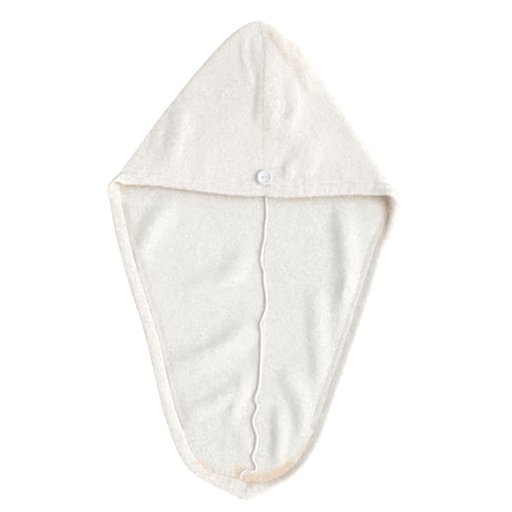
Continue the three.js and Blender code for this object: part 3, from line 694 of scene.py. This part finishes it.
def stitch_tree():
    """Geometry Nodes that lay short bowed lengths of thread along a line, each the same way to the line."""
    tree, put = nodes_for(
        "thread stitches",
        {
            "Line": "Geometry", "Pitch": "Float", "Thickness": "Float", "Start": "Vector", "Top": "Vector",
            "End": "Vector", "Seed": "Int", "Material": "Material",
        },
    )
    given = put("NodeGroupInput")
    line = put("GeometryNodeMeshToCurve", {"Mesh": given["Line"]})[0]
    spaced = put("GeometryNodeResampleCurve", {"Curve": line, "Length": given["Pitch"]}, mode="LENGTH")[0]
    bow = put(
        "GeometryNodeCurveQuadraticBezier",
        {"Resolution": 5, "Start": given["Start"], "Middle": given["Top"], "End": given["End"]},
    )[0]
    half = put("ShaderNodeMath", {0: given["Thickness"], 1: 0.5}, operation="MULTIPLY")[0]
    ring = put("GeometryNodeCurvePrimitiveCircle", {"Resolution": 5, "Radius": half}, mode="RADIUS")[0]
    stitch = put("GeometryNodeCurveToMesh", {"Curve": bow, "Profile Curve": ring, "Fill Caps": True})[0]
    tangent = put("GeometryNodeInputTangent")[0]
    aligned = put("FunctionNodeAlignRotationToVector", {"Vector": tangent}, axis="Y", pivot_axis="Z")[0]
    index = put("GeometryNodeInputIndex")[0]
    swing = put("FunctionNodeRandomValue", {2: -0.14, 3: 0.14, "ID": index, "Seed": given["Seed"]})[1]
    swung = put("FunctionNodeEulerToRotation", {0: put("ShaderNodeCombineXYZ", {2: swing})[0]})[0]
    turned_way = put("FunctionNodeRotateRotation", {0: aligned, 1: swung}, rotation_space="LOCAL")[0]
    size = put("FunctionNodeRandomValue", {2: 0.88, 3: 1.08, "ID": index, "Seed": 7})[1]
    sewn = put(
        "GeometryNodeInstanceOnPoints",
        {"Points": spaced, "Instance": stitch, "Rotation": turned_way, "Scale": size},
    )[0]
    real = put("GeometryNodeRealizeInstances", {"Geometry": sewn})[0]
    even = put("GeometryNodeSetShadeSmooth", {"Geometry": real})[0]
    made = put("GeometryNodeSetMaterial", {"Geometry": even, "Material": given["Material"]})[0]
    put("NodeGroupOutput", {0: made})
    return tree


def grow(tree, name, mesh, values):
    """A new piece made by a Geometry Nodes tree on a copy of the mesh, its inputs given by name."""
    piece = new_piece(name, mesh.copy())
    nodes = piece.modifiers.new(tree.name, "NODES")
    nodes.node_group = tree
    for socket in tree.interface.items_tree:
        if socket.in_out == "INPUT" and socket.name in values:
            nodes[socket.identifier] = values[socket.name]
    finished(piece)
    keep_above_table(piece.data, 0.0002)
    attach(piece, "root")
    return piece


def thread_material(name, colour, twist):
    """Spun thread: a fine twist in its surface with painted shade in its grooves, and a slight sheen."""
    material, tree, shader = new_material(name)
    where = node_in(tree, "ShaderNodeTexCoord", at=(-1100, 0))["Object"]
    spun = {"Vector": where, "Scale": twist, "Distortion": 1.5}
    bands = {"wave_type": "BANDS", "bands_direction": "DIAGONAL"}
    plies = node_in(tree, "ShaderNodeTexWave", spun, (-850, 150), **bands)["Fac"]
    fluff = node_in(tree, "ShaderNodeTexNoise", {"Vector": where, "Scale": 900}, (-850, -150))["Fac"]
    twisted = {0: plies, 1: 0.6, 2: fluff}
    relief = node_in(tree, "ShaderNodeMath", twisted, (-600, -50), operation="MULTIPLY_ADD")[0]
    # painted shade: the thread is darker where the twist's relief is low
    tones = {0: relief, 6: [0.86 * value for value in colour[:3]] + [1], 7: colour}
    twist_relief = {"Distance": 0.00012, "Height": relief}
    looks = {
        "Roughness": 0.62, "Specular IOR Level": 0.35, "Sheen Weight": 0.2,
        "Base Color": node_in(tree, "ShaderNodeMix", tones, (-350, 150), data_type="RGBA")[2],
        "Normal": node_in(tree, "ShaderNodeBump", twist_relief, (-250, -150))["Normal"],
    }
    feed(tree, shader, looks)
    return material


def line_mesh(name, path):
    mesh = bpy.data.meshes.new(name)
    joins = [(n, n + 1) for n in range(len(path) - 1)]
    mesh.from_pydata([tuple(spot * MM) for spot in np.asarray(path)], joins, [])
    return mesh


stitches = stitch_tree()
overlock_thread = thread_material("overlock thread", THREAD_WHITE, 900)
tops = [(x, y, top_at(seam_surface, x, y, 12)) for x, y in ridge]
overlock = grow(
    stitches,
    "overlock_loops",
    line_mesh("ridge top", [spot for spot in tops if spot[2] > 1]),
    {
        "Pitch": OVERLOCK_PITCH * MM, "Thickness": 0.45 * MM, "Start": Vector((-2.1, -0.5, -1.7)) * MM,
        "Top": Vector((0, 0.2, 2.9)) * MM, "End": Vector((2.1, 0.9, -1.7)) * MM, "Seed": 1,
        "Material": overlock_thread,
    },
)

# Pile
# The fleece has a soft pile of short fibres on the side that shows, each leaning its own way, as in a pile
# that has been brushed by hand. It gets a little shorter beside the stitches. The warm painted shade of its
# recesses, creases and shaded flanks is kept with the cloth and is part of the fleece's materials.
FIBRE_SPACING = 0.39
FIBRE_LENGTH = 2.2
FIBRE_WIDTH = 0.42
FIBRE_LEAN = 48
FIBRE_SOFTNESS = 0.88
# painted shade along lines, with reach and strength: beside the hem rolls and in the right corner's hollow
TAIL_SHADOW_LINES = [
    ([(-22, -277), (-8, -283), (12, -283), (32, -277), (48, -266)], 7, 0.85),
    ([(-19, -272), (-14, -282)], 6, 0.8),
    ([(48, -268), (62, -252), (72, -234)], 4, 0.45),
    ([(-30, -281), (-55, -274), (-72, -262)], 4, 0.45),
    ([(166, 84), (172, 76), (173, 62)], 6, 1.0),
    ([(175, 66), (172, 50), (166, 34), (160, 20)], 4.5, 0.4),
    ([(-171, 92), (-168, 66), (-162, 36)], 4, 0.2),
]
# painted shade on the hood, on the flanks of its folds that are turned from the light
HOOD_SHADOW_LINES = [
    ([(16, 299), (26, 286), (36, 270), (46, 254)], 5, 0.28),
    ([(52, 278), (58, 262), (61, 245), (68, 222)], 6, 0.2),
    ([(9, 246), (7, 215), (4, 190), (2, 160)], 7, 0.09),
]
# strength of the painted shadow that the seam ridge casts beside it
SEAM_SHADOW = 0.4
HOOD_FROM = 13  # the hood's outside lies above this height, and the inside of the tail below it
SKY_REACH = 26  # how far off the cloth still hides the sky


def pile_tree():
    """Geometry Nodes that grow fibres on a surface, as long as the named attribute says at each place."""
    tree, put = nodes_for(
        "fleece pile",
        {
            "Cloth": "Geometry", "Where": "String", "Spacing": "Float", "Length": "Float", "Width": "Float",
            "Lean": "Float", "Softness": "Float", "Seed": "Int", "Material": "Material",
        },
    )

    def sum_of(a, b, operation="ADD", c=0.0):
        return put("ShaderNodeMath", {0: a, 1: b, 2: c}, operation=operation)[0]

    given = put("NodeGroupInput")
    named = put("GeometryNodeInputNamedAttribute", {"Name": given["Where"]}, data_type="FLOAT")
    nap_length = named["Attribute"]
    grows = sum_of(nap_length, 0.12, "GREATER_THAN")
    thickest = sum_of(1.6, sum_of(given["Spacing"], given["Spacing"], "MULTIPLY"), "DIVIDE")
    roots = put(
        "GeometryNodeDistributePointsOnFaces",
        {
            "Mesh": given["Cloth"], "Distance Min": given["Spacing"], "Density Max": thickest,
            "Density Factor": grows, "Seed": given["Seed"],
        },
        distribute_method="POISSON",
    )
    # one fibre is a slender blade, marked with how near each of its points is to the tip
    blade = put("GeometryNodeMeshCircle", {"Vertices": 3, "Radius": 1.0}, fill_type="NGON")[0]
    corner = put("ShaderNodeSeparateXYZ", {0: put("GeometryNodeInputPosition")[0]})
    tip = sum_of(corner[0], 1 / 1.5, "MULTIPLY_ADD", 1 / 3)
    across = sum_of(corner[1], sum_of(given["Width"], 0.58, "MULTIPLY"), "MULTIPLY")
    shape = put("ShaderNodeCombineXYZ", {0: across, 2: sum_of(tip, given["Length"], "MULTIPLY")})[0]
    marked = put(
        "GeometryNodeStoreNamedAttribute",
        {"Geometry": blade, "Name": "tip", "Value": tip},
        data_type="FLOAT", domain="POINT",
    )[0]
    fibre = put("GeometryNodeSetPosition", {"Geometry": marked, "Position": shape})[0]
    # the way each fibre leans, its size and its tone
    turn = put("FunctionNodeRandomValue", {2: -3.1416, 3: 3.1416, "Seed": 3})[1]
    tilt = put("FunctionNodeRandomValue", {2: 0.6, 3: 1.3, "Seed": 4})[1]
    size = put("FunctionNodeRandomValue", {2: 0.75, 3: 1.2, "Seed": 5})[1]
    tone = put("FunctionNodeRandomValue", {"Seed": 6})[1]
    lean = put("ShaderNodeCombineXYZ", {0: sum_of(given["Lean"], tilt, "MULTIPLY"), 2: turn})[0]
    leaning = put(
        "FunctionNodeRotateRotation",
        {0: roots["Rotation"], 1: put("FunctionNodeEulerToRotation", {0: lean})[0]},
        rotation_space="LOCAL",
    )[0]
    scale = sum_of(size, sum_of(nap_length, 0.7, "MULTIPLY_ADD", 0.3), "MULTIPLY")
    tinted = put(
        "GeometryNodeStoreNamedAttribute",
        {"Geometry": roots["Points"], "Name": "tint", "Value": tone},
        data_type="FLOAT", domain="POINT",
    )[0]
    facing = put(
        "GeometryNodeStoreNamedAttribute",
        {"Geometry": tinted, "Name": "cloth side", "Value": roots["Normal"]},
        data_type="FLOAT_VECTOR", domain="POINT",
    )[0]
    grown = put(
        "GeometryNodeInstanceOnPoints",
        {"Points": facing, "Instance": fibre, "Rotation": leaning, "Scale": scale},
    )[0]
    real = put("GeometryNodeRealizeInstances", {"Geometry": grown})[0]
    # the fibres are shaded mostly as the cloth under them, as soft ones are
    kept = put("GeometryNodeInputNamedAttribute", {"Name": "cloth side"}, data_type="FLOAT_VECTOR")
    own_side = put("GeometryNodeInputNormal")[0]
    blend = {"Factor": given["Softness"], 4: own_side, 5: kept["Attribute"]}
    blended = put("ShaderNodeMix", blend, data_type="VECTOR")[1]
    softened = put(
        "GeometryNodeSetMeshNormal",
        {"Mesh": real, "Custom Normal": put("ShaderNodeVectorMath", {0: blended}, operation="NORMALIZE")[0]},
        mode="FREE", domain="POINT",
    )[0]
    made = put("GeometryNodeSetMaterial", {"Geometry": softened, "Material": given["Material"]})[0]
    put("NodeGroupOutput", {0: made})
    return tree


def pile_material(name, light):
    """Fibres with painted shade at their roots, each of its own tone."""
    material, tree, shader = new_material(name)
    tones = {"Light": light, "Shade": SHADE, "Clump": 200}
    effect = node_in(tree, "ShaderNodeGroup", tones, (-900, 0), node_tree=nap)
    near_tip = node_in(tree, "ShaderNodeAttribute", at=(-900, -300), attribute_name="tip")["Fac"]
    own_tone = node_in(tree, "ShaderNodeAttribute", at=(-900, -500), attribute_name="tint")["Fac"]
    # painted shade: each fibre's root is drawn towards the shade colour, its tip keeps the nap's colour
    both = {0: own_tone, 1: 0.25, 2: near_tip}
    tone = node_in(tree, "ShaderNodeMath", both, (-700, -400), operation="MULTIPLY_ADD")[0]
    lit = node_in(tree, "ShaderNodeMapRange", {"Value": tone, "To Min": 0.65}, (-550, -400))[0]
    mixed = {0: lit, 6: SHADE, 7: effect["Colour"]}
    colour = node_in(tree, "ShaderNodeMix", mixed, (-400, 0), data_type="RGBA")[2]
    looks = {
        "Roughness": 0.95, "Specular IOR Level": 0.2, "Sheen Weight": 0.3, "Sheen Roughness": 0.6,
        "Base Color": tinted_by_painted_shade(tree, colour),
    }
    feed(tree, shader, looks)
    return material


def sky_ways():
    """Directions spread over the upper half of the sky."""
    ways = []
    for reach, count in ((0.3, 4), (0.65, 6), (0.88, 8)):
        for n in range(count):
            turn = 2 * math.pi * (n + reach) / count
            ways.append(Vector((math.cos(turn) * reach, math.sin(turn) * reach, math.sqrt(1 - reach**2))))
    return ways


def keep_painted_shadows(piece):
    """Stores the warm painted shade of each place of the cloth, more where nearby cloth hides the sky."""
    spots, ways = positions(piece.data), positions(piece.data, "normal")
    hidden = np.zeros(len(spots))
    sky = sky_ways()
    for n in np.flatnonzero(ways[:, 2] > -0.6):
        start = Vector(spots[n] + ways[n] * 0.0008 + (0, 0, 0.0006))
        met = [cloth_surface.ray_cast(start, way, SKY_REACH * MM)[0] for way in sky]
        hidden[n] = sum(spot is not None for spot in met) / len(sky)
    painted_shading = smooth((hidden - 0.08) / 0.6)
    flat = spots[:, :2] / MM
    low = (spots[:, 2] < HOOD_FROM * MM) & (ways[:, 2] > -0.3)
    high = (spots[:, 2] > HOOD_FROM * MM) & (ways[:, 2] > 0)
    uneven = 1 + 0.35 * noise_at(np.c_[flat, 0 * hidden], 7, 12)
    for here, creases in ((low, TAIL_SHADOW_LINES), (high, HOOD_SHADOW_LINES)):
        for crease, reach, strength in creases:
            near = beside(curve_through(crease, 6), flat)[0]
            painted_shading = np.maximum(painted_shading, here * strength * uneven * np.exp(-((near / reach) ** 2)))
    # painted shade in uneven specks on the left roll's outer flank, which is turned from the light
    outer = smooth((-ways[:, 0] - 0.25) / 0.5) * smooth((flat[:, 1] + 250) / 200)
    outer *= (flat[:, 1] < 112) * (flat[:, 0] < -60)
    painted_shading = np.maximum(painted_shading, outer * (0.3 + 0.8 * noise_at(np.c_[flat, 0 * hidden], 4, 13)))
    # painted shadow of the seam ridge, mostly on its left side
    near, _, side = beside(ridge, flat)
    shaded = np.where(side < 0, SEAM_SHADOW, 0.2 * SEAM_SHADOW) * np.exp(-((near / 3.6) ** 2))
    keep_value(piece.data, "shade_paint", np.clip(np.maximum(painted_shading, low * shaded), 0, 1))


for piece in [*panels.values(), *hems.values()]:
    keep_painted_shadows(piece)

pile_fleece = {
    "hood": pile_material("outside pile", OUTSIDE),
    "tail": pile_material("inside pile", INSIDE),
    "hem": pile_material("hem pile", OUTSIDE),
}
pile_nodes = pile_tree()
for side in SIDES:
    goes_with = [hems[side]] + ([seam, overlock] if side == "right" else [])
    for part, cloth in (("hood", panels[side]), ("tail", panels[side]), ("hem", hems[side])):
        pile = grow(
            pile_nodes,
            f"{side}_{part}_pile",
            cloth.data,
            {
                "Where": f"{part} pile", "Spacing": FIBRE_SPACING * MM, "Length": FIBRE_LENGTH * MM,
                "Width": FIBRE_WIDTH * MM, "Lean": math.radians(FIBRE_LEAN), "Softness": FIBRE_SOFTNESS,
                "Seed": 11 + len(goes_with), "Material": pile_fleece[part],
            },
        )
        goes_with.append(pile)

# Hem stitches
# Two rows of white thread, one on each side of the towel, hold the turned edge down. They run in the groove
# behind the roll from the seam round the corners to the tail's tip, half sunk in the pile.
STITCH_PITCH = 3.6
STITCH_LENGTH = 2.9
hem_thread = thread_material("hem thread", THREAD_WHITE, 900)
for side in SIDES:
    path = stitch_path(side) + (0, 0, GROOVE_ROUND + 0.25)
    row = grow(
        stitches,
        f"{side}_hem_stitches",
        line_mesh("stitch line", path),
        {
            "Pitch": STITCH_PITCH * MM, "Thickness": 0.5 * MM,
            "Start": Vector((0, -STITCH_LENGTH / 2, -0.5)) * MM,
            "Top": Vector((0, 0, 0.8)) * MM, "End": Vector((0, STITCH_LENGTH / 2, -0.5)) * MM, "Seed": 2,
            "Material": hem_thread,
        },
    )

# Button
# A glossy white two-hole button, moulded with a wide rounded rim and a shallow dish. It is sewn to the seam
# outside the nape, where the loop at the tail's tip can reach it.
HOLE_RADIUS = 1.0
HOLE_SPACING = 5.6
BUTTON_WHITE = (0.70, 0.703, 0.705, 1)
BUTTON_SHADE = (0.66, 0.665, 0.67, 1)
BUTTON_PROFILE = [
    (0.0, 0.54), (3.5, 0.25), (7.0, 0.0), (8.3, 0.25), (9.2, 0.85), (9.8, 1.6), (10.0, 2.2), (9.8, 2.85),
    (9.3, 3.35), (8.6, 3.6), (7.8, 3.55), (7.1, 3.2), (6.5, 2.6), (5.9, 2.28), (4.5, 2.1), (2.5, 2.0),
    (0.0, 1.98),
]
button_box = [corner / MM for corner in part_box("button")]
button_middle = (button_box[0] + button_box[1]) / 2


def turned(name, profile, segments):
    """A closed solid turned about Z through a profile that starts and ends on the axis."""
    corners = [(0, 0, profile[0][1])]
    faces = []
    rings = profile[1:-1]
    for out, up in rings:
        for n in range(segments):
            turn = 2 * math.pi * n / segments
            corners.append((out * math.cos(turn), out * math.sin(turn), up))
    corners.append((0, 0, profile[-1][1]))
    for n in range(segments):
        k = (n + 1) % segments
        faces.append((0, 1 + k, 1 + n))
        for r in range(len(rings) - 1):
            a = 1 + r * segments
            faces.append((a + n, a + k, a + segments + k, a + segments + n))
        last = 1 + (len(rings) - 1) * segments
        faces.append((last + n, last + k, len(corners) - 1))
    mesh = bpy.data.meshes.new(name)
    mesh.from_pydata(corners, [], faces)
    return new_piece(name, mesh)


profile = [tuple(p) for p in curve_through(BUTTON_PROFILE, 0.35)]
profile[0] = (0.0, BUTTON_PROFILE[0][1])
profile[-1] = (0.0, BUTTON_PROFILE[-1][1])
button = turned("button_moulding", profile, 96)
for x in (-HOLE_SPACING / 2, HOLE_SPACING / 2):
    drill = turned("drill", [(0, -2), (HOLE_RADIUS, -2), (HOLE_RADIUS, 6), (0, 6)], 28)
    drill.data.transform(Matrix.Translation((x, 0, 0)))
    cut = button.modifiers.new("hole", "BOOLEAN")
    cut.operation, cut.object, cut.solver = "DIFFERENCE", drill, "EXACT"
    finished(button)
    bpy.data.objects.remove(drill)
button.data.transform(Matrix.Translation((button_middle.x, button_middle.y, button_box[0].z)))
button.data.transform(Matrix.Scale(MM, 4))
button.data.shade_smooth()
button.data.set_sharp_from_angle(angle=math.radians(35))

plastic, tree, shader = new_material("button plastic")
where = node_in(tree, "ShaderNodeTexCoord", at=(-1000, 0))["Object"]
cloud = node_in(tree, "ShaderNodeTexNoise", {"Vector": where, "Scale": 260, "Detail": 3}, (-800, 100))["Fac"]
tint = node_in(tree, "ShaderNodeValToRGB", {"Fac": cloud}, (-550, 150))["Color"]
tint.node.color_ramp.elements[0].color = BUTTON_SHADE
tint.node.color_ramp.elements[1].color = BUTTON_WHITE
gloss = {"Value": cloud, "To Min": 0.16, "To Max": 0.3}
moulded = {"Distance": 0.00004, "Strength": 0.4, "Height": cloud}
looks = {
    "Specular IOR Level": 0.5, "Coat Weight": 0.35, "Coat Roughness": 0.08, "Base Color": tint,
    "Roughness": node_in(tree, "ShaderNodeMapRange", gloss, (-550, -100))[0],
    "Normal": node_in(tree, "ShaderNodeBump", moulded, (-300, -250))["Normal"],
}
feed(tree, shader, looks)
button.data.materials.append(plastic)
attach(button, "root")
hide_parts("button")

# Button thread
# Four strands of white sewing thread hold the button. They come up through one hole, cross the dish and go
# down through the other into the seam.
STRAND_THICKNESS = 0.46
STRAND_SIDEWAYS = [-0.48, -0.16, 0.17, 0.5]
thread_box = [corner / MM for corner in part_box("button_thread")]
seat = button_box[0].z
strands = []
for n, across in enumerate(STRAND_SIDEWAYS):
    reach = HOLE_SPACING / 2 + 0.1 * (-1) ** n
    bow = 2.62 + 0.1 * (n % 2)
    half = [(reach, thread_box[0].z - seat), (reach, 1.2), (reach - 0.05, 2.2), (reach - 0.6, bow)]
    half.append((0.8, bow + 0.12))
    way = half + [(-x, z) for x, z in half[::-1]]
    path = curve_through([(x, across * (1 + 0.12 * abs(x)), z) for x, z in way], 0.3)
    strands.append(tube(path + (button_middle.x, button_middle.y, seat), STRAND_THICKNESS / 2, 8))
button_strands = new_piece("button_strands", strands.pop(0))
add_to(button_strands, *strands)
button_strands.data.materials.append(thread_material("button thread", (0.80, 0.80, 0.79, 1), 1400))
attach(button_strands, "root")
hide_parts("button_thread")

# Loop
# A short folded tape of soft woven elastic, sewn under the tail's tip. It takes the button when the tail is
# brought over the hood, and it lies flat beneath the tip until then.
LOOP_RIBS = 620
LOOP_PICKS = 1500
ELASTIC = (0.855, 0.835, 0.805, 1)
ELASTIC_SHADE = (0.66, 0.64, 0.61, 1)
loop = smoothed_copy("button_loop", "elastic_loop", 2)
elastic, tree, shader = new_material("woven elastic")
where = node_in(tree, "ShaderNodeTexCoord", at=(-1100, 0))["Object"]
woven = {}
for way, threads, at in (("X", LOOP_RIBS, 150), ("Y", LOOP_PICKS, -150)):
    bands = {"wave_type": "BANDS", "bands_direction": way}
    even = {"Vector": where, "Scale": threads}
    woven[way] = node_in(tree, "ShaderNodeTexWave", even, (-850, at), **bands)["Fac"]
crossed = {0: woven["Y"], 1: 0.5, 2: woven["X"]}
weave = node_in(tree, "ShaderNodeMath", crossed, (-600, 0), operation="MULTIPLY_ADD")[0]
tones = {0: weave, 6: ELASTIC_SHADE, 7: ELASTIC}
looks = {
    "Roughness": 0.75, "Specular IOR Level": 0.3, "Sheen Weight": 0.15,
    "Base Color": node_in(tree, "ShaderNodeMix", tones, (-350, 150), data_type="RGBA")[2],
    "Normal": node_in(tree, "ShaderNodeBump", {"Distance": 0.0002, "Height": weave}, (-250, -150))["Normal"],
}
feed(tree, shader, looks)
loop.data.materials.append(elastic)
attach(loop, "root")
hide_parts("button_loop")

# Photo table
# A plain pale floor under soft studio light, seen straight from above as the towel lies on it.
CAMERA_AT = (2.35, 5.2)
FRAME_WIDTH = 665.6
LENS = 135
floor_mesh = bpy.data.meshes.new("floor")
floor_mesh.from_pydata([(-4, -4, 0), (4, -4, 0), (4, 4, 0), (-4, 4, 0)], [], [(0, 1, 2, 3)])
floor = new_piece("floor", floor_mesh)
paper, tree, shader = new_material("floor paper")
pale = {
    "Base Color": (0.95, 0.95, 0.95, 1), "Roughness": 0.9, "Specular IOR Level": 0.1,
    "Emission Color": (1, 1, 1, 1), "Emission Strength": 0.5,
}
feed(tree, shader, pale)
floor.data.materials.append(paper)

world = bpy.data.worlds.new("studio")
world.use_nodes = True
sky = world.node_tree.nodes["Background"]
feed(world.node_tree, sky, {"Color": (1.0, 0.987, 0.970, 1), "Strength": 0.83})
bpy.context.scene.world = world

key_light = bpy.data.lights.new("key", "SUN")
key_light.energy = 2.45
key_light.angle = math.radians(38)
key_light.color = (0.925, 0.960, 1.0)
key = bpy.data.objects.new("key", key_light)
key.rotation_euler = Vector((1.0, -0.2, 0.75)).to_track_quat("Z", "Y").to_euler()
bpy.context.scene.collection.objects.link(key)

lens = bpy.data.cameras.new("camera")
lens.lens = LENS
lens.sensor_width = 36
camera = bpy.data.objects.new("camera", lens)
camera.location = (CAMERA_AT[0] * MM, CAMERA_AT[1] * MM, LENS / 36 * FRAME_WIDTH * MM + 0.008)
bpy.context.scene.collection.objects.link(camera)
bpy.context.scene.camera = camera
bpy.context.scene.view_settings.view_transform = "Standard"
